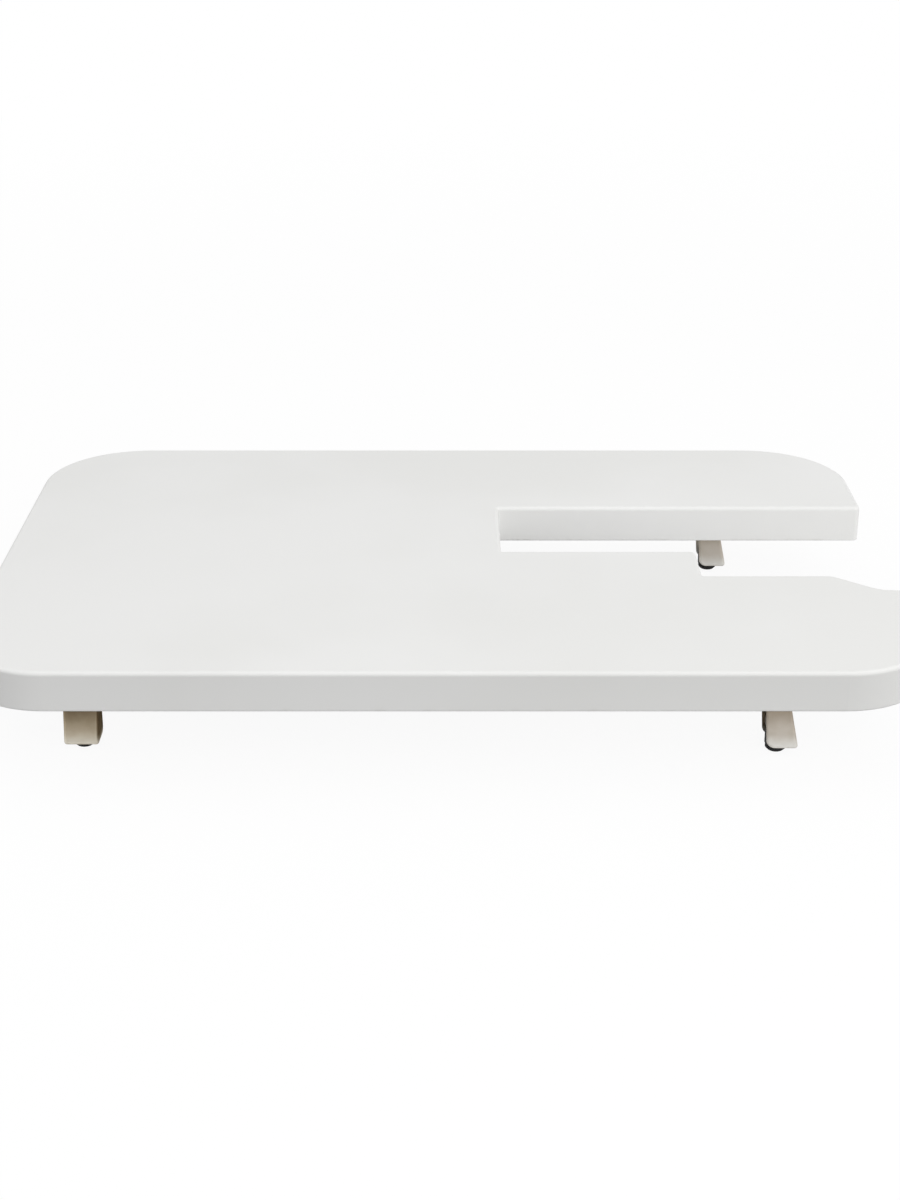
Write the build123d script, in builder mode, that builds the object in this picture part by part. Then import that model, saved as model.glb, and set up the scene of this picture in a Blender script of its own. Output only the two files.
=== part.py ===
from build123d import *
from math import cos, radians, sin, tan
import os

# Table top, overall sizes in millimetres, floor at zero height
table_length = 600.0
table_depth = 400.0
table_height = 76.0
rim_height = 26.0
panel_thickness = 3.0
skirt_thickness = 3.0
top_edge_radius = 2.5
rim_edge_radius = 1.0
front_corner_radius = 58.0
back_corner_radius = 70.0

# Cut-out for the free arm, open at the right end
slot_length = 262.0
slot_width = 82.5
rear_arm_depth = 126.0
step_length = 129.0
step_depth = 42.5
flare_depth = 23.5
flare_angle = 40.0
flare_land = 3.0
flare_outer_radius = 12.0
flare_inner_radius = 22.0
slot_corner_radius = 2.0
tip_margin = 1.0

# Ribs, bracket seats and leg wells under the panel
rib_thickness = 2.0
rib_setback = 11.0
rib_pitch = 60.0
well_side_gap = 5.0
well_end_gap = 4.0

# Where the feet stand, measured to the foot centre
left_foot_inset = 71.0
left_foot_edge = 54.5
front_right_foot_inset = 91.0
front_right_foot_edge = 48.0
back_right_foot_inset = 99.0
back_right_foot_edge = 56.0

# Folding leg, a channel that is open to the inner side
leg_sheet = 1.5
leg_bend_radius = 2.0
leg_top_radius = 6.0
web_lean = 12.0
flange_lean = 4.0
leg_floor_gap = 4.8
leg_toe_radius = 2.0
leg_heel_radius = 6.0
fold_angle = 98.0

# Hinge of a leg
seat_height = 5.0
rivet_diameter = 4.0
rivet_head_diameter = 7.0
rivet_head_height = 1.4
rivet_head_round = 1.1
bracket_sheet = 1.6
bracket_end_margin = 3.5
bracket_corner_radius = 4.0
cheek_root = 8.0
washer_thickness = 0.8
stop_gap = 0.2
rotation_gap = 0.3
washer_gap = 0.1
running_gap = 0.05
press_gap = 0.02

# Screws that hold a bracket
screw_tool_gap = 4.5
screw_diameter = 3.5
screw_bite = 1.0
screw_tip_gap = 0.4
screw_head_diameter = 7.0
screw_head_height = 2.2
screw_head_chamfer = 0.8
recess_length = 3.6
recess_width = 0.9
recess_depth = 1.2

# Levelling foot
stud_diameter = 6.0
stud_rise = 8.0
stud_chamfer = 0.75
nut_reach = 6.0
nut_height = 5.0
knob_diameter = 14.0
knob_height = 8.5
knob_flutes = 8
knob_flute_radius = 1.2
knob_chamfer = 0.6
knob_socket_height = 3.0
knob_floor = 1.2
knob_side_gap = 2.5
knob_web_gap = 2.8
retract_travel = 1.5
extend_travel = 8.0
pad_diameter = 13.0
pad_thickness = 3.2
pad_chamfer = 1.4
pad_plug_diameter = 5.0
pad_plug_height = 2.2
swivel_gap = 0.15

# Levels of the table top
rim_bottom = table_height - rim_height
panel_under = table_height - panel_thickness
rib_height = panel_under - rim_bottom - rib_setback
ribs_along = int(table_length // rib_pitch) - 1
ribs_across = int(table_depth // rib_pitch)

# Plan positions of the cut-out
right_end = table_length / 2
back_edge = table_depth / 2
slot_end = right_end - slot_length
arm_front = back_edge - rear_arm_depth
slot_front = arm_front - slot_width
step_end = right_end - step_length
step_front = slot_front - step_depth
flare_front = step_front - flare_depth
tip_radius = top_edge_radius + tip_margin
flare_foot = right_end - tip_radius - flare_land - flare_inner_radius * tan(radians(flare_angle / 2))
flare_top = flare_foot - flare_depth / tan(radians(flare_angle))

# Levels of a leg and its hinge
bracket_over = panel_under - seat_height
bracket_under = bracket_over - bracket_sheet
heel_height = bracket_under - stop_gap
pivot_height = heel_height - stop_gap - leg_top_radius
leg_inner_width = knob_diameter + 2 * knob_side_gap
leg_width = leg_inner_width + 2 * leg_sheet
web_inside = leg_top_radius - leg_sheet
washer_room = washer_thickness + 2 * washer_gap
bracket_width = leg_inner_width - 2 * washer_room
cheek_radius = web_inside - rotation_gap
screw_spacing = 2 * (cheek_root + screw_tool_gap) + screw_head_diameter
bracket_length = screw_spacing + screw_head_diameter + 2 * bracket_end_margin

# Levels of a foot
knob_bottom = pad_thickness + swivel_gap
knob_top = knob_bottom + knob_height
nut_bottom = knob_top + retract_travel + rotation_gap
nut_top = nut_bottom + nut_height
stud_top = nut_top + stud_rise
socket_top = knob_bottom + knob_socket_height
stud_bottom = socket_top + knob_floor

# How far the pivot lies inward of the foot, so that the knob clears the leaning web
lean = radians(web_lean)
web_at_knob = (web_inside + (pivot_height - knob_top) * sin(lean)) / cos(lean)
pivot_u = knob_diameter / 2 + knob_web_gap - web_at_knob
pivot = (pivot_u, pivot_height)

# Reach of a folded leg, inward and outward of its pivot
leg_drop = pivot_height + extend_travel
well_inner = leg_drop + well_end_gap + pad_diameter / 2 * sin(radians(fold_angle - 90))
well_outer = bracket_length / 2 + well_end_gap
well_half_width = leg_width / 2 + rivet_head_height + well_side_gap

# One frame per leg, at the foot centre on the floor, with its first axis pointing outward
foot_places = {
    "front_left": ((left_foot_inset - right_end, left_foot_edge - back_edge, 0), (0, -1, 0)),
    "back_left": ((left_foot_inset - right_end, back_edge - left_foot_edge, 0), (0, 1, 0)),
    "front_right": ((right_end - front_right_foot_inset, front_right_foot_edge - back_edge, 0), (1, 0, 0)),
    "back_right": ((right_end - back_right_foot_inset, back_edge - back_right_foot_edge, 0), (1, 0, 0)),
}
leg_frames = {place: Plane(spot, outward, (0, 0, 1)) for place, (spot, outward) in foot_places.items()}


def side_plane(frame, along=0.0, up=0.0):
    # Upright plane through a leg: first axis outward, second axis up
    return Plane(frame.from_local_coords(Vector(along, 0, up)), frame.x_dir, -frame.y_dir)


def web_line(height, distance):
    # Outward position of a line parallel to the leaning web, at a distance from the pivot
    return pivot_u + (distance - (height - pivot_height) * sin(lean)) / cos(lean)


def flange_line(height):
    # Outward position of the free edge of the flanges
    slope = radians(flange_lean)
    return pivot_u - (leg_top_radius + (height - pivot_height) * sin(slope)) / cos(slope)


def corner(sketch, x, y):
    return sketch.vertices().sort_by_distance(Vector(x, y, 0))[0]


def save(builder, name):
    builder.part.label = name
    export_step(builder.part, f"parts/{name}.step")


os.makedirs("parts", exist_ok=True)

# Plan of the table top
with BuildSketch() as plan:
    with BuildLine():
        Polyline(
            (-right_end, -back_edge),
            (right_end, -back_edge),
            (right_end, flare_front),
            (flare_foot, flare_front),
            (flare_top, step_front),
            (step_end, step_front),
            (step_end, slot_front),
            (slot_end, slot_front),
            (slot_end, arm_front),
            (right_end, arm_front),
            (right_end, back_edge),
            (-right_end, back_edge),
            close=True,
        )
    make_face()
    for x in (-right_end, right_end):
        fillet(corner(plan, x, -back_edge), front_corner_radius)
        fillet(corner(plan, x, back_edge), back_corner_radius)
    for x, y in ((right_end, flare_front), (step_end, slot_front), (right_end, arm_front)):
        fillet(corner(plan, x, y), tip_radius)
    for x, y in ((step_end, step_front), (slot_end, slot_front), (slot_end, arm_front)):
        fillet(corner(plan, x, y), slot_corner_radius)
    fillet(corner(plan, flare_top, step_front), flare_outer_radius)
    fillet(corner(plan, flare_foot, flare_front), flare_inner_radius)

# Room inside the skirt
with BuildSketch() as room:
    add(plan.sketch)
    offset(amount=-skirt_thickness)

# Ribs and the frames of the leg wells
with BuildSketch() as ribs:
    with GridLocations(rib_pitch, rib_pitch, ribs_along, 1):
        Rectangle(rib_thickness, table_depth)
    with GridLocations(rib_pitch, rib_pitch, 1, ribs_across):
        Rectangle(table_length, rib_thickness)
    for frame in leg_frames.values():
        well_centre = frame.from_local_coords(Vector(pivot_u + (well_outer - well_inner) / 2, 0, 0))
        with Locations(Plane(well_centre, frame.x_dir, frame.z_dir)):
            Rectangle(well_outer + well_inner + 2 * rib_thickness, 2 * (well_half_width + rib_thickness))
            Rectangle(well_outer + well_inner, 2 * well_half_width, mode=Mode.SUBTRACT)
    add(room.sketch, mode=Mode.INTERSECT)

# Table top shell
with BuildPart() as table_top:
    with BuildSketch(Plane.XY.offset(rim_bottom)):
        add(plan.sketch)
    extrude(amount=rim_height)
    fillet(table_top.faces().sort_by(Axis.Z)[-1].edges(), top_edge_radius)
    fillet(table_top.faces().sort_by(Axis.Z)[0].edges(), rim_edge_radius)
    with BuildSketch(Plane.XY.offset(panel_under)):
        add(room.sketch)
    extrude(amount=-rim_height, mode=Mode.SUBTRACT)
    with BuildSketch(Plane.XY.offset(panel_under)):
        add(ribs.sketch)
    extrude(amount=-rib_height)
    for frame in leg_frames.values():
        seat = frame.offset(bracket_over)
        with BuildSketch(Plane(seat.from_local_coords(Vector(pivot_u, 0, 0)), seat.x_dir, seat.z_dir)):
            RectangleRounded(bracket_length, bracket_width, bracket_corner_radius)
        extrude(amount=seat_height)
        with BuildSketch(Plane(seat.from_local_coords(Vector(pivot_u, 0, 0)), seat.x_dir, seat.z_dir)):
            with GridLocations(screw_spacing, screw_spacing, 2, 1):
                Circle(screw_diameter / 2 + press_gap)
        extrude(amount=seat_height + screw_bite + screw_tip_gap, mode=Mode.SUBTRACT)
save(table_top, "table_top")

for place, frame in leg_frames.items():
    side = side_plane(frame)
    web_run = frame.x_dir * sin(radians(web_lean)) - frame.z_dir * cos(radians(web_lean))

    # Folding leg: flanges, web with its heel, rivet holes
    with BuildPart() as leg:
        with BuildSketch(side) as flange:
            with BuildLine():
                Polyline(
                    (web_line(heel_height, leg_top_radius), heel_height),
                    (web_line(leg_floor_gap, leg_top_radius), leg_floor_gap),
                    (flange_line(leg_floor_gap), leg_floor_gap),
                    (flange_line(pivot_height), pivot_height),
                    close=True,
                )
            make_face()
            fillet(corner(flange, web_line(leg_floor_gap, leg_top_radius), leg_floor_gap), leg_toe_radius)
            fillet(corner(flange, flange_line(leg_floor_gap), leg_floor_gap), leg_heel_radius)
            with Locations(pivot):
                Circle(leg_top_radius)
        extrude(amount=leg_width / 2, both=True)
        fillet(leg.edges().filter_by(Axis(frame.origin, web_run)), leg_bend_radius)
        with BuildSketch(side):
            with BuildLine():
                Polyline(
                    (web_line(table_height, web_inside), table_height),
                    (web_line(0, web_inside), 0),
                    (pivot_u - leg_width, 0),
                    (pivot_u - leg_width, table_height),
                    close=True,
                )
            make_face()
        extrude(amount=leg_inner_width / 2, both=True, mode=Mode.SUBTRACT)
        with BuildSketch(side):
            with Locations(pivot):
                Circle(rivet_diameter / 2 + running_gap)
        extrude(amount=leg_width, both=True, mode=Mode.SUBTRACT)
    save(leg, f"{place}_leg")

    # Hinge bracket: base plate, two cheeks, rivet and screw holes
    with BuildPart() as bracket:
        with BuildSketch(side):
            with BuildLine():
                Polyline(
                    (web_line(bracket_over, cheek_radius), bracket_over),
                    (web_line(pivot_height, cheek_radius), pivot_height),
                    (pivot_u - cheek_radius, pivot_height),
                    (pivot_u - cheek_root, bracket_over),
                    close=True,
                )
            make_face()
            with Locations(pivot):
                Circle(cheek_radius)
                Circle(rivet_diameter / 2 + press_gap, mode=Mode.SUBTRACT)
        extrude(amount=bracket_width / 2, both=True)
        with BuildSketch(side):
            with Locations((pivot_u, bracket_under / 2)):
                Rectangle(bracket_length, bracket_under)
        extrude(amount=bracket_width / 2 - bracket_sheet, both=True, mode=Mode.SUBTRACT)
        base = frame.offset(bracket_under)
        with BuildSketch(Plane(base.from_local_coords(Vector(pivot_u, 0, 0)), base.x_dir, base.z_dir)):
            RectangleRounded(bracket_length, bracket_width, bracket_corner_radius)
            with GridLocations(screw_spacing, screw_spacing, 2, 1):
                Circle(screw_diameter / 2 + press_gap, mode=Mode.SUBTRACT)
        extrude(amount=bracket_sheet)
    save(bracket, f"{place}_hinge_bracket")

    # Hinge rivet with a low domed head at each end
    with BuildPart() as rivet:
        with BuildSketch(side):
            with Locations(pivot):
                Circle(rivet_diameter / 2)
        extrude(amount=leg_width / 2 + washer_gap, both=True)
        for way in (-1, 1):
            with BuildSketch(side.offset(way * (leg_width / 2 + washer_gap))):
                with Locations(pivot):
                    Circle(rivet_head_diameter / 2)
            extrude(amount=way * rivet_head_height)
        ends = rivet.faces().filter_by(Axis((0, 0, 0), side.z_dir)).sort_by(Axis((0, 0, 0), side.z_dir))
        fillet((ends[0].edges(), ends[-1].edges()), rivet_head_round)
    save(rivet, f"{place}_hinge_rivet")

    # Friction washers between cheeks and flanges
    with BuildPart() as washers:
        for way in (-1, 1):
            with BuildSketch(side.offset(way * (bracket_width / 2 + washer_gap))):
                with Locations(pivot):
                    Circle(cheek_radius)
                    Circle(rivet_diameter / 2 + running_gap, mode=Mode.SUBTRACT)
            extrude(amount=way * washer_thickness)
    save(washers, f"{place}_hinge_washers")

    # Bracket screws with cross recesses
    with BuildPart() as screws:
        for along in (pivot_u - screw_spacing / 2, pivot_u + screw_spacing / 2):
            screw_side = side_plane(frame, along, bracket_under)
            tip = bracket_sheet + seat_height + screw_bite
            with BuildSketch(screw_side):
                with BuildLine():
                    Polyline(
                        (0, tip),
                        (0, -screw_head_height),
                        (screw_head_diameter / 2 - screw_head_chamfer, -screw_head_height),
                        (screw_head_diameter / 2, screw_head_chamfer - screw_head_height),
                        (screw_head_diameter / 2, 0),
                        (screw_diameter / 2, 0),
                        (screw_diameter / 2, tip),
                        close=True,
                    )
                make_face()
            revolve(axis=Axis(screw_side.origin, frame.z_dir))
            head = Plane(screw_side.origin - frame.z_dir * screw_head_height, frame.x_dir, frame.z_dir)
            with BuildSketch(head):
                Rectangle(recess_length, recess_width)
                Rectangle(recess_width, recess_length)
            extrude(amount=recess_depth, mode=Mode.SUBTRACT)
    save(screws, f"{place}_bracket_screws")

    # Foot nut, a block across the leg channel that meets the web at its upper edge
    nut_back = web_line(nut_top, web_inside)
    with BuildPart() as nut:
        with BuildSketch(frame.offset(nut_bottom)):
            with Locations(((nut_back - nut_reach) / 2, 0)):
                Rectangle(nut_back + nut_reach, leg_inner_width)
            Circle(stud_diameter / 2 + running_gap, mode=Mode.SUBTRACT)
        extrude(amount=nut_height)
    save(nut, f"{place}_foot_nut")

    # Foot screw, the stud that is fixed in the knob
    with BuildPart() as stud:
        with BuildSketch(frame.offset(stud_bottom)):
            Circle(stud_diameter / 2)
        extrude(amount=stud_top - stud_bottom)
        chamfer(stud.faces().sort_by(Axis.Z)[-1].edges(), stud_chamfer)
    save(stud, f"{place}_foot_screw")

    # Foot knob with finger flutes, the stud hole above and the pad socket below
    with BuildPart() as knob:
        with BuildSketch(frame.offset(knob_bottom)):
            Circle(knob_diameter / 2)
        extrude(amount=knob_height)
        chamfer(knob.edges().filter_by(GeomType.CIRCLE), knob_chamfer)
        with BuildSketch(frame.offset(knob_bottom)):
            with PolarLocations(knob_diameter / 2, knob_flutes):
                Circle(knob_flute_radius)
        extrude(amount=knob_height, mode=Mode.SUBTRACT)
        with BuildSketch(frame.offset(knob_bottom)):
            Circle(pad_plug_diameter / 2 + swivel_gap)
        extrude(amount=knob_socket_height, mode=Mode.SUBTRACT)
        with BuildSketch(frame.offset(stud_bottom)):
            Circle(stud_diameter / 2 + press_gap)
        extrude(amount=knob_top - stud_bottom, mode=Mode.SUBTRACT)
    save(knob, f"{place}_foot_knob")

    # Foot pad with the plug it swivels on
    with BuildPart() as pad:
        with BuildSketch(frame):
            Circle(pad_diameter / 2)
        extrude(amount=pad_thickness)
        chamfer(pad.faces().sort_by(Axis.Z)[0].edges(), pad_chamfer)
        with BuildSketch(frame.offset(pad_thickness)):
            Circle(pad_plug_diameter / 2)
        extrude(amount=pad_plug_height)
    save(pad, f"{place}_foot_pad")
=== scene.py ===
import bpy
import bmesh
import math
from mathutils import Matrix, Vector


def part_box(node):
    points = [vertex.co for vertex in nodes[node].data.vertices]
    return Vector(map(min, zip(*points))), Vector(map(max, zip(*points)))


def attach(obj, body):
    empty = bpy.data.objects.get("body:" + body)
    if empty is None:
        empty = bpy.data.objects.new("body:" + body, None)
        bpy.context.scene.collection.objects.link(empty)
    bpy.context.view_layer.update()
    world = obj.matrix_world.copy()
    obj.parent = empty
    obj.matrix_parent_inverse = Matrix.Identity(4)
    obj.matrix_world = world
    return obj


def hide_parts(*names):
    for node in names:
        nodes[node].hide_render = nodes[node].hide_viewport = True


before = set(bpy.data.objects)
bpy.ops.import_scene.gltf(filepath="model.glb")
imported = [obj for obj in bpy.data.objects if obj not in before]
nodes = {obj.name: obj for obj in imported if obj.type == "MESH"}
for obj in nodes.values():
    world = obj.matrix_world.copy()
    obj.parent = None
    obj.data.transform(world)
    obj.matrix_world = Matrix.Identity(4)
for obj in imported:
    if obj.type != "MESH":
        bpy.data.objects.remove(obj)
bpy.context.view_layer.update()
places = ("front_left", "back_left", "front_right", "back_right")
print("frame loaded,", len(nodes), "nodes")


# a socket that can be used in sums
class Wire:
    def __init__(self, graph, socket):
        self.graph = graph
        self.socket = socket

    def math(self, operation, first, second):
        return self.graph.node("ShaderNodeMath", {"operation": operation}, {0: first, 1: second})

    def __add__(self, other):
        return self.math("ADD", self, other)

    def __radd__(self, other):
        return self.math("ADD", other, self)

    def __sub__(self, other):
        return self.math("SUBTRACT", self, other)

    def __rsub__(self, other):
        return self.math("SUBTRACT", other, self)

    def __mul__(self, other):
        return self.math("MULTIPLY", self, other)

    def __rmul__(self, other):
        return self.math("MULTIPLY", other, self)

    def highest(self, other):
        return self.math("MAXIMUM", self, other)

    # 0 before start, 1 past end, smooth between; start may be the larger one
    def step(self, start, end):
        return self.graph.node(
            "ShaderNodeMapRange",
            {"interpolation_type": "SMOOTHSTEP"},
            {"Value": self, "From Min": start, "From Max": end},
        )


# the nodes of a material or of the sky
class Graph:
    def __init__(self, tree):
        self.tree = tree

    # any node: its type, settings, socket values or links, and the output that is wanted
    def node(self, kind, settings, inputs, output=0):
        made = self.tree.nodes.new(kind)
        for name, value in settings.items():
            setattr(made, name, value)
        for name, value in inputs.items():
            self.feed(made.inputs[name], value)
        return Wire(self, made.outputs[output])

    def feed(self, socket, value):
        if isinstance(value, Wire):
            self.tree.links.new(value.socket, socket)
        else:
            socket.default_value = value

    # masks for rays from the camera and for rays that metal or glass sends on
    def rays(self):
        camera = self.node("ShaderNodeLightPath", {}, {}, "Is Camera Ray")
        glossy = self.node("ShaderNodeLightPath", {}, {}, "Is Glossy Ray")
        through = self.node("ShaderNodeLightPath", {}, {}, "Is Transmission Ray")
        return camera, glossy.highest(through)


# a material under construction, on Object coordinates
class Finish(Graph):
    def __init__(self, name):
        self.material = bpy.data.materials.new(name)
        self.material.use_nodes = True
        super().__init__(self.material.node_tree)
        self.shader = self.tree.nodes["Principled BSDF"]
        self.place = self.node("ShaderNodeTexCoord", {}, {}, "Object")

    def surface(self, values):
        for name, value in values.items():
            self.feed(self.shader.inputs[name], value)

    def stretched(self, stretch, turn=(0, 0, 0)):
        sockets = {"Vector": self.place, "Scale": stretch, "Rotation": turn}
        return self.node("ShaderNodeMapping", {}, sockets)

    def noise(self, scale=1.0, detail=2.0, roughness=0.5, vector=None):
        sockets = {"Vector": vector or self.place, "Scale": scale, "Detail": detail, "Roughness": roughness}
        return self.node("ShaderNodeTexNoise", {}, sockets)

    def along(self, axis):
        return self.node("ShaderNodeSeparateXYZ", {}, {"Vector": self.place}, axis)

    def mixed(self, factor, first, second):
        return self.node("ShaderNodeMix", {"data_type": "RGBA"}, {0: factor, 6: first, 7: second}, 2)

    def tinted(self, factor, colour, tint):
        settings = {"data_type": "RGBA", "blend_type": "MULTIPLY"}
        return self.node("ShaderNodeMix", settings, {0: factor, 6: colour, 7: tint}, 2)

    def bump(self, height, distance, strength):
        sockets = {"Height": height, "Distance": distance, "Strength": strength}
        return self.node("ShaderNodeBump", {}, sockets)


def rgb(red, green, blue):
    return (red, green, blue, 1.0)


def wear(node, finish):
    mesh = nodes[node].data
    mesh.materials.clear()
    mesh.materials.append(finish.material)


# white moulded shell: fine spark texture, slow gloss changes, faint slide marks, a little soiling low down
topLook = {
    "white": rgb(0.83, 0.83, 0.82),
    "shade": rgb(0.80, 0.80, 0.785),
    "slow": {"scale": 5.0, "detail": 3.0},
    "shadeEdge": (0.35, 0.7),
    "grain": {"scale": 1900.0, "detail": 3.0, "roughness": 0.6},
    "grainDepth": 0.000035,
    "grainStrength": 0.6,
    "marks": {"stretch": (9.0, 420.0, 9.0), "turn": (0, 0, 0.3)},
    "markEdge": (0.66, 0.74),
    "markPatches": {"scale": 14.0},
    "markPatchEdge": (0.5, 0.7),
    "markDepth": 0.3,  # as a share of the grain
    "soil": rgb(0.60, 0.58, 0.54),
    "soilBand": 0.003,  # from the lower edge of the skirt up
    "soilSpots": {"scale": 60.0, "detail": 4.0},
    "soilEdge": (0.45, 0.75),
    "soilShare": 0.35,
    "roughness": (0.58, 0.68),
    "grainRoughness": 0.08,
    "markRoughness": 0.07,
    "specular": 0.3,
}


def makeTopFinish():
    look = topLook
    finish = Finish("white moulded plastic")
    grain = finish.noise(**look["grain"])
    slow = finish.noise(**look["slow"])
    marks = finish.noise(vector=finish.stretched(**look["marks"])).step(*look["markEdge"])
    scuffs = marks * finish.noise(**look["markPatches"]).step(*look["markPatchEdge"])
    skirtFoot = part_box("table_top")[0].z
    low = finish.along("Z").step(skirtFoot + look["soilBand"], skirtFoot)
    soiled = low * finish.noise(**look["soilSpots"]).step(*look["soilEdge"])
    tone = finish.mixed(slow.step(*look["shadeEdge"]), look["white"], look["shade"])
    least, most = look["roughness"]
    gloss = least + (most - least) * slow + look["grainRoughness"] * grain + look["markRoughness"] * scuffs
    relief = grain - look["markDepth"] * scuffs
    finish.surface({
        "Base Color": finish.mixed(soiled * look["soilShare"], tone, look["soil"]),
        "Roughness": gloss,
        "Normal": finish.bump(relief, look["grainDepth"], look["grainStrength"]),
        "Specular IOR Level": look["specular"],
    })
    return finish


# satin nickel plate on pressed steel, brushed along the leg; painted shade in brown towards the hinge and
# painted light at the foot end, darker painted shade at the hinge end of the left legs and on the inner
# flanges, and a warm painted shade over the left legs
legLook = {
    # painted shade: brown tone for the upper part of the leg, which lies in the shadow under the table
    "hinge": rgb(0.40, 0.335, 0.26),
    "nickel": rgb(0.64, 0.585, 0.515),
    # painted light: near-white tone for the foot end, where the light reaches the leg
    "foot": rgb(0.90, 0.885, 0.84),
    "heights": (0.033, 0.017, 0.005),  # where the three tones are full
    "wander": {"scale": 160.0, "detail": 3.0},
    "wanderReach": 0.004,
    "dull": rgb(0.60, 0.54, 0.46),
    "patches": {"scale": 120.0, "detail": 4.0},
    "patchEdge": (0.42, 0.72),
    "patchShare": 0.6,
    # colour of the painted shade at the hinge end of the left legs and on the inner flanges
    "paintedShade": rgb(0.135, 0.10, 0.06),
    "paintedTopShade": (0.008, 0.036),  # heights where it begins and is full
    "paintedTopShadeShare": 0.78,
    "paintedFlangeShade": (0.004, 0.012),
    "paintedFlangeShadeShare": 0.95,
    "leftFlange": (0.0019, 0.0004),  # how far behind the flange's face it begins and is full
    "rightFlange": (0.0030, 0.0018),
    # painted warm shade: a darker, warmer tint over the left legs, strongest towards the hinge
    "paintedWarmShade": rgb(0.94, 0.86, 0.70),
    "paintedWarmShadeHeights": (-0.01, 0.022),
    "split": (0.1, -0.1),  # tells the left or front legs from the others
    "edge": rgb(0.42, 0.35, 0.24),  # tints what is reflected at grazing angles
    "brushing": {"stretch": (1500.0, 1500.0, 40.0)},
    "brushNoise": {"detail": 3.0, "roughness": 0.6},
    "brushDepth": 0.000025,
    "brushStrength": 0.4,
    "metallic": 0.8,
    "roughness": 0.36,
    "patchRoughness": 0.10,
    "brushRoughness": 0.08,
}


# where painted shade darkens a leg: the hinge end of the left legs and the inner flanges
def findPaintedShade(finish, height, left):
    look = legLook
    across, back = finish.along("X"), finish.along("Y")
    front = back.step(*look["split"])
    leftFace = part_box("front_left_leg")[1].x
    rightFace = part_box("front_right_leg")[1].y
    onLeft = left * across.step(*[leftFace - depth for depth in look["leftFlange"]])
    onRight = (1 - left) * front * back.step(*[rightFace - depth for depth in look["rightFlange"]])
    flanges = (onLeft + onRight) * height.step(*look["paintedFlangeShade"]) * look["paintedFlangeShadeShare"]
    hingeEnd = left * height.step(*look["paintedTopShade"]) * look["paintedTopShadeShare"]
    return hingeEnd.highest(flanges)


def makeLegFinish():
    look = legLook
    finish = Finish("satin nickel leg")
    brushed = finish.noise(vector=finish.stretched(**look["brushing"]), **look["brushNoise"])
    patch = finish.noise(**look["patches"]).step(*look["patchEdge"])
    height = finish.along("Z") + look["wanderReach"] * (finish.noise(**look["wander"]) - 0.5)
    high, middle, low = look["heights"]
    plate = finish.mixed(patch * look["patchShare"], look["nickel"], look["dull"])
    # painted shade towards the hinge, then painted light at the foot end
    upper = finish.mixed(height.step(middle, high), plate, look["hinge"])
    tone = finish.mixed(height.step(middle, low), upper, look["foot"])
    left = finish.along("X").step(*look["split"])
    # painted shade on the hinge end of the left legs and on the inner flanges
    withPaintedShade = finish.mixed(findPaintedShade(finish, height, left), tone, look["paintedShade"])
    gloss = look["roughness"] + look["patchRoughness"] * patch + look["brushRoughness"] * brushed
    finish.surface({
        # painted warm shade over the left legs
        "Base Color": finish.tinted(left * height.step(*look["paintedWarmShadeHeights"]), withPaintedShade, look["paintedWarmShade"]),
        "Metallic": look["metallic"],
        "Specular Tint": look["edge"],
        "Roughness": gloss,
        "Normal": finish.bump(brushed, look["brushDepth"], look["brushStrength"]),
    })
    return finish


# zinc plated steel: spangle, rolling lines and dulled patches
steelLook = {
    "patches": {"scale": 110.0, "detail": 4.0},
    "patchEdge": (0.42, 0.68),
    "rolling": {"stretch": (60.0, 60.0, 2600.0)},
    "depth": 0.00002,
    "strength": 0.35,
    "spangleDepth": 0.4,  # as a share of the rolling lines
    "roughness": 0.28,
    "spangleRoughness": 0.10,
    "patchRoughness": 0.10,
    "rollingRoughness": 0.06,
}
bracketLook = {"base": rgb(0.56, 0.56, 0.55), "dull": rgb(0.40, 0.40, 0.39), "spangle": 260.0}
rivetLook = {"base": rgb(0.60, 0.60, 0.59), "dull": rgb(0.45, 0.44, 0.43), "spangle": 420.0}
screwLook = {"base": rgb(0.55, 0.54, 0.50), "dull": rgb(0.38, 0.37, 0.34), "spangle": 500.0}
nutLook = {"base": rgb(0.48, 0.48, 0.47), "dull": rgb(0.33, 0.33, 0.32), "spangle": 260.0}
studLook = {"base": rgb(0.50, 0.50, 0.49), "dull": rgb(0.35, 0.35, 0.34), "spangle": 600.0}


def makeSteelFinish(name, tones):
    look = steelLook
    finish = Finish(name)
    sockets = {"Vector": finish.place, "Scale": tones["spangle"]}
    cells = finish.node("ShaderNodeTexVoronoi", {}, sockets, "Color")
    spangle = finish.node("ShaderNodeSeparateColor", {}, {"Color": cells}, "Red")
    rolled = finish.noise(vector=finish.stretched(**look["rolling"]))
    patch = finish.noise(**look["patches"]).step(*look["patchEdge"])
    gloss = look["roughness"] + look["spangleRoughness"] * spangle + look["patchRoughness"] * patch
    finish.surface({
        "Base Color": finish.mixed(patch, tones["base"], tones["dull"]),
        "Metallic": 1.0,
        "Roughness": gloss + look["rollingRoughness"] * rolled,
        "Normal": finish.bump(rolled + look["spangleDepth"] * spangle, look["depth"], look["strength"]),
    })
    return finish


# washers of undyed nylon, a little cloudy
nylonLook = {
    "clear": rgb(0.70, 0.67, 0.60),
    "cloudy": rgb(0.62, 0.58, 0.50),
    "clouds": {"scale": 300.0, "detail": 3.0},
    "grain": {"scale": 1800.0},
    "grainDepth": 0.00002,
    "grainStrength": 0.4,
    "roughness": 0.42,
    "cloudRoughness": 0.12,
}


def makeNylonFinish():
    look = nylonLook
    finish = Finish("natural nylon")
    clouds = finish.noise(**look["clouds"])
    finish.surface({
        "Base Color": finish.mixed(clouds, look["clear"], look["cloudy"]),
        "Roughness": look["roughness"] + look["cloudRoughness"] * clouds,
        "Normal": finish.bump(finish.noise(**look["grain"]), look["grainDepth"], look["grainStrength"]),
    })
    return finish


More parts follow.
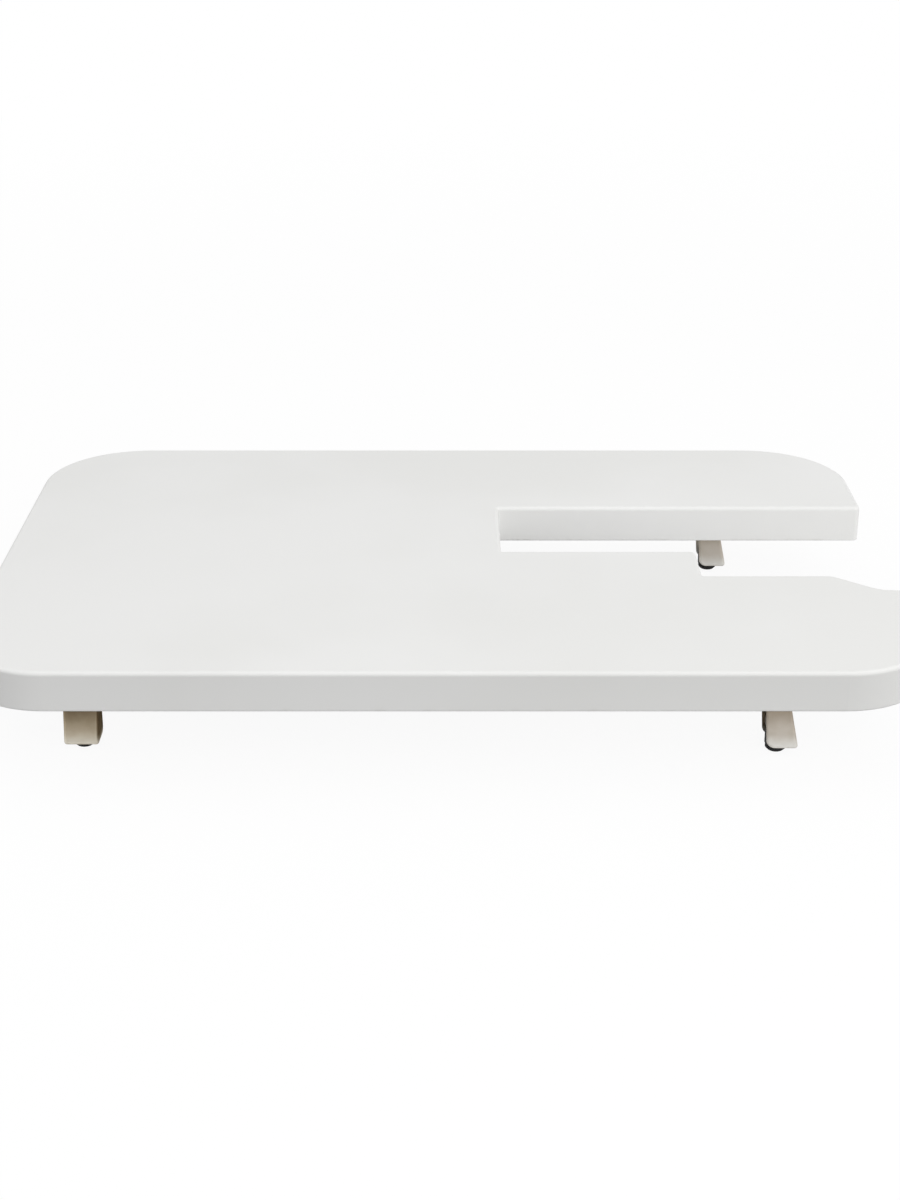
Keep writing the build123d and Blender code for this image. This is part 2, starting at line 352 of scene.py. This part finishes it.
# black foot pieces: satin knob, dusty matte rubber
blackLook = {
    "dusting": {"scale": 240.0, "detail": 4.0},
    "dustEdge": (0.5, 0.8),
    "dustShare": 0.5,
    "grain": {"detail": 3.0, "roughness": 0.6},
    "grainStrength": 0.5,
    "grainRoughness": 0.12,
}
knobLook = {
    "base": rgb(0.016, 0.016, 0.016),
    "dust": rgb(0.03, 0.029, 0.027),
    "roughness": 0.42,
    "grainScale": 1500.0,
    "grainDepth": 0.00003,
}
padLook = {
    "base": rgb(0.012, 0.012, 0.012),
    "dust": rgb(0.035, 0.033, 0.03),
    "roughness": 0.70,
    "grainScale": 1100.0,
    "grainDepth": 0.00005,
}


def makeBlackFinish(name, tones):
    look = blackLook
    finish = Finish(name)
    grain = finish.noise(tones["grainScale"], **look["grain"])
    dusty = finish.noise(**look["dusting"]).step(*look["dustEdge"]) * look["dustShare"]
    finish.surface({
        "Base Color": finish.mixed(dusty, tones["base"], tones["dust"]),
        "Roughness": tones["roughness"] + look["grainRoughness"] * grain,
        "Normal": finish.bump(grain, tones["grainDepth"], look["grainStrength"]),
    })
    return finish


legPieceFinishes = {
    "leg": makeLegFinish(),
    "hinge_bracket": makeSteelFinish("zinc plated bracket", bracketLook),
    "hinge_rivet": makeSteelFinish("rivet steel", rivetLook),
    "hinge_washers": makeNylonFinish(),
    "bracket_screws": makeSteelFinish("screw steel", screwLook),
    "foot_nut": makeSteelFinish("nut steel", nutLook),
    "foot_knob": makeBlackFinish("black knob", knobLook),
    "foot_pad": makeBlackFinish("black rubber", padLook),
}

wear("table_top", makeTopFinish())
for place in places:
    for piece, finish in legPieceFinishes.items():
        wear(place + "_" + piece, finish)
print("finishes done")


def addMesh(bm, name, finish):
    mesh = bpy.data.meshes.new(name)
    bm.to_mesh(mesh)
    bm.free()
    mesh.materials.append(finish.material)
    made = bpy.data.objects.new(name, mesh)
    bpy.context.scene.collection.objects.link(made)
    return made


# foot screws with a real thread of 1 mm pitch, in place of the plain CAD studs
threadLook = {
    "pitch": 0.001,
    "depth": 0.0006,
    "crest": 0.00014,
    "chamfer": 0.00075,
    "stepsPerTurn": 24,
    "spareTurns": 2,  # one at each end, which is cut off
    "weld": 0.00001,
}


def makeStud(place, finish):
    low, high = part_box(place + "_foot_screw")
    middle = (low + high) / 2
    major = (high.x - low.x) / 2
    minor = major - threadLook["depth"]
    pitch, crest = threadLook["pitch"], threadLook["crest"]
    turns = math.ceil((high.z - low.z) / pitch) + threadLook["spareTurns"]
    start = low.z - pitch
    outline = ((minor, 0), (major, (pitch - crest) / 2), (major, (pitch + crest) / 2), (minor, pitch))
    bm = bmesh.new()
    points = [bm.verts.new((middle.x + radius, middle.y, start + rise)) for radius, rise in outline]
    edges = [bm.edges.new(pair) for pair in zip(points, points[1:])]
    bmesh.ops.spin(
        bm,
        geom=points + edges,
        cent=(middle.x, middle.y, 0),
        axis=(0, 0, 1),
        dvec=(0, 0, pitch / threadLook["stepsPerTurn"]),
        angle=math.tau * turns,
        steps=turns * threadLook["stepsPerTurn"],
    )
    for height, way in ((low.z, -1), (high.z, 1)):
        bmesh.ops.bisect_plane(
            bm,
            geom=bm.verts[:] + bm.edges[:] + bm.faces[:],
            plane_co=(0, 0, height),
            plane_no=(0, 0, way),
            clear_outer=True,
        )
    bmesh.ops.remove_doubles(bm, verts=bm.verts, dist=threadLook["weld"])
    bmesh.ops.holes_fill(bm, edges=[edge for edge in bm.edges if edge.is_boundary])
    # chamfer at the upper end
    for vertex in bm.verts:
        reach = Vector((vertex.co.x - middle.x, vertex.co.y - middle.y))
        allowed = major - max(0.0, vertex.co.z - high.z + threadLook["chamfer"])
        if reach.length > allowed:
            reach *= allowed / reach.length
            vertex.co.x, vertex.co.y = middle.x + reach.x, middle.y + reach.y
    bmesh.ops.recalc_face_normals(bm, faces=bm.faces)
    return addMesh(bm, place + "_stud", finish)


studFinish = makeSteelFinish("stud steel", studLook)
for place in places:
    stud = makeStud(place, studFinish)
    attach(stud, place + "_adjuster")
    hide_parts(place + "_foot_screw")
print("foot screws done")

white = rgb(1, 1, 1)
# studio: white floor that keeps a faint shadow, a large soft box above and right of the camera, weak light
# from above, and a dark cloth behind the camera
studio = {
    "floorSize": 14.0,
    "floorSeen": rgb(0.97, 0.97, 0.97),
    "floorBounce": rgb(0.76, 0.76, 0.76),
    "frontBounce": rgb(0.03, 0.03, 0.03),  # less light comes back from the floor in front of the table
    "bounceEdge": (-0.1, 0.05),  # from the front of the table
    "floorGlow": 0.93,
    "floorGlowInMetal": 0.25,
    "floorRoughness": 0.9,
    "fade": (0.7, 2.2),  # distances between which the floor turns pure white
    "skyStrength": 0.73,
    "front": {"at": (1.0, -1.95, 1.4), "size": (2.4, 1.6), "power": 31.0},
    "overhead": {"at": (0.2, 0.3, 2.3), "size": (2.6, 2.0), "power": 3.0},
    "aim": (0.0, 0.0, 0.06),
    "flag": {"distance": 2.6, "width": 5.0, "from": 0.02, "to": 1.25, "colour": rgb(0.02, 0.02, 0.02)},
}


def makeFloor():
    bm = bmesh.new()
    bmesh.ops.create_grid(bm, x_segments=1, y_segments=1, size=studio["floorSize"] / 2)
    finish = Finish("white floor")
    camera, mirrored = finish.rays()
    begins, ends = [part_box("table_top")[0].y + reach for reach in studio["bounceEdge"]]
    under = finish.along("Y").step(begins, ends)
    bounce = finish.mixed(under, studio["frontBounce"], studio["floorBounce"])
    seen = finish.mixed(camera.highest(mirrored), bounce, studio["floorSeen"])
    finish.surface({"Base Color": seen, "Roughness": studio["floorRoughness"], "Specular IOR Level": 0.0})
    distance = finish.node("ShaderNodeVectorMath", {"operation": "LENGTH"}, {0: finish.place}, "Value")
    glow = studio["floorGlow"] + (1 - studio["floorGlow"]) * distance.step(*studio["fade"])
    share = camera * glow + mirrored * studio["floorGlowInMetal"]
    shine = finish.node("ShaderNodeEmission", {}, {"Color": white, "Strength": 1.0})
    matt = Wire(finish, finish.shader.outputs[0])
    mix = finish.node("ShaderNodeMixShader", {}, {0: share, 1: matt, 2: shine})
    finish.feed(finish.tree.nodes["Material Output"].inputs["Surface"], mix)
    addMesh(bm, "floor", finish)


# a dark cloth behind the camera, seen only in the metal
def makeFlag():
    look = studio["flag"]
    bm = bmesh.new()
    bmesh.ops.create_grid(bm, x_segments=1, y_segments=1, size=0.5)  # one metre wide
    bmesh.ops.scale(bm, vec=(look["width"], look["to"] - look["from"], 1), verts=bm.verts)
    bmesh.ops.rotate(bm, matrix=Matrix.Rotation(math.radians(90), 3, "X"), verts=bm.verts)
    middle = (look["from"] + look["to"]) / 2
    bmesh.ops.translate(bm, vec=(0, -look["distance"], middle), verts=bm.verts)
    finish = Finish("dark cloth")
    finish.surface({"Base Color": look["colour"], "Roughness": 1.0, "Specular IOR Level": 0.0})
    flag = addMesh(bm, "flag", finish)
    flag.visible_camera = False
    flag.visible_diffuse = False
    flag.visible_transmission = False
    flag.visible_shadow = False


def makeLamp(name):
    look = studio[name]
    light = bpy.data.lights.new(name, "AREA")
    light.shape = "RECTANGLE"
    light.size, light.size_y = look["size"]
    light.energy = look["power"]
    lamp = bpy.data.objects.new(name, light)
    lamp.location = look["at"]
    away = Vector(look["at"]) - Vector(studio["aim"])
    lamp.rotation_euler = away.to_track_quat("Z", "Y").to_euler()
    bpy.context.scene.collection.objects.link(lamp)


# white to the camera and in the metal, weaker as light
def makeSky():
    world = bpy.data.worlds.new("studio")
    bpy.context.scene.world = world
    world.use_nodes = True
    sky = Graph(world.node_tree)
    camera, mirrored = sky.rays()
    light = sky.node("ShaderNodeBackground", {}, {"Color": white, "Strength": studio["skyStrength"]})
    backdrop = sky.node("ShaderNodeBackground", {}, {"Color": white, "Strength": 1.0})
    mix = sky.node("ShaderNodeMixShader", {}, {0: camera.highest(mirrored), 1: light, 2: backdrop})
    sky.feed(sky.tree.nodes["World Output"].inputs["Surface"], mix)


# camera as fitted to the edges of the table in the photograph
shot = {
    "focalPixels": 1965.0,
    "imageHeight": 1200.0,
    "sensor": 36.0,
    "at": (0.0031, -1.254),
    "aboveTop": 0.511,
    "pitch": 23.74,
}


def makeCamera():
    data = bpy.data.cameras.new("photo camera")
    data.sensor_fit = "AUTO"
    data.sensor_width = shot["sensor"]
    data.lens = shot["focalPixels"] / shot["imageHeight"] * shot["sensor"]
    camera = bpy.data.objects.new("photo camera", data)
    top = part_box("table_top")[1][2]
    camera.location = (*shot["at"], top + shot["aboveTop"])
    camera.rotation_euler = (math.radians(90 - shot["pitch"]), 0, 0)
    bpy.context.scene.collection.objects.link(camera)
    bpy.context.scene.camera = camera


makeFloor()
makeFlag()
makeLamp("front")
makeLamp("overhead")
makeSky()
makeCamera()
bpy.context.scene.view_settings.view_transform = "Standard"
print("studio done")
